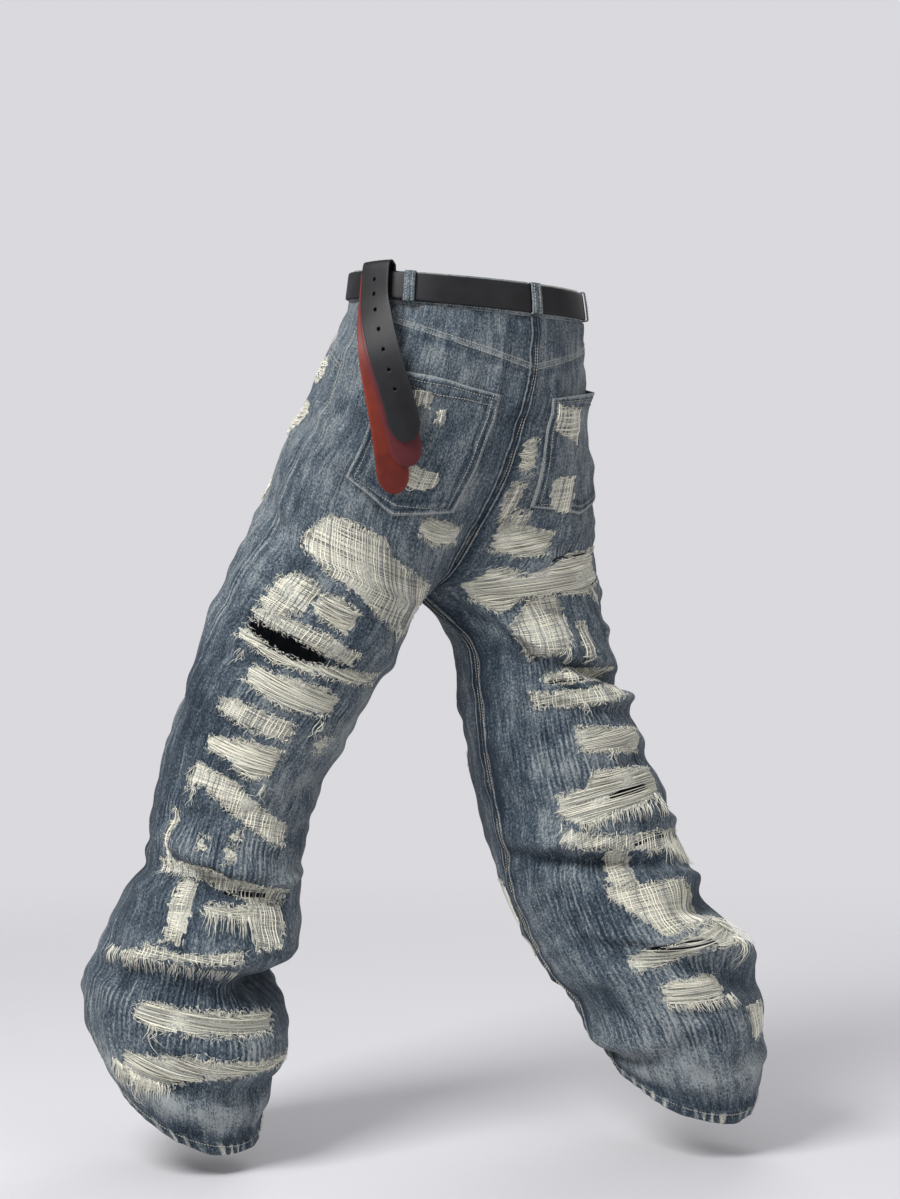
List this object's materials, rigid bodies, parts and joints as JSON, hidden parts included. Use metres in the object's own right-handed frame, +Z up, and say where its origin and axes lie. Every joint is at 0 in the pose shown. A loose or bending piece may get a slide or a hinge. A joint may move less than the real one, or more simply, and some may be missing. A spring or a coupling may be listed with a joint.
{
  "type": "ripped jeans worn on no figure, with a belt",
  "caption": "Wide-leg ripped jeans in a worn stride, hollow and open at waist and hems, with a belt whose three layered ends hang at the left hip.",
  "frame": {"origin": "middle of the waist opening, at the top edge of the waistband", "axes": "+Z up, front faces -Y, the wearer's left is +X"},
  "size_m": [0.7381, 0.5689, 1.0578],
  "materials": {
    "denim": "matte washed twill",
    "denim_dark": "matte twill, less washed",
    "thread": "matte raw cotton",
    "black_leather": "satin",
    "burgundy_leather": "satin",
    "red_leather": "satin",
    "metal": "brushed"
  },
  "bodies": {
    "root": {"back_left": "denim", "back_right": "denim", "front_left": "denim", "front_right": "denim", "yoke_left": "denim", "yoke_right": "denim", "waistband": "denim", "back_pocket_left": "denim", "back_pocket_right": "denim", "pocket_facing_left": "denim_dark", "pocket_facing_right": "denim_dark", "belt_loop_1": "denim", "belt_loop_2": "denim", "belt_loop_3": "denim", "belt_loop_4": "denim", "belt_loop_5": "denim", "belt_strap": "black_leather", "tail_black": "black_leather", "tail_burgundy": "burgundy_leather", "tail_red": "red_leather", "buckle_frame": "metal", "buckle_prong": "metal", "waist_button": "metal", "fringe_knee_left": "thread", "fringe_calf_left": "thread", "fringe_shin_left": "thread", "fringe_knee_right": "thread", "fringe_side_right": "thread", "fringe_shin_right": "thread"}
  },
  "joints": []
}
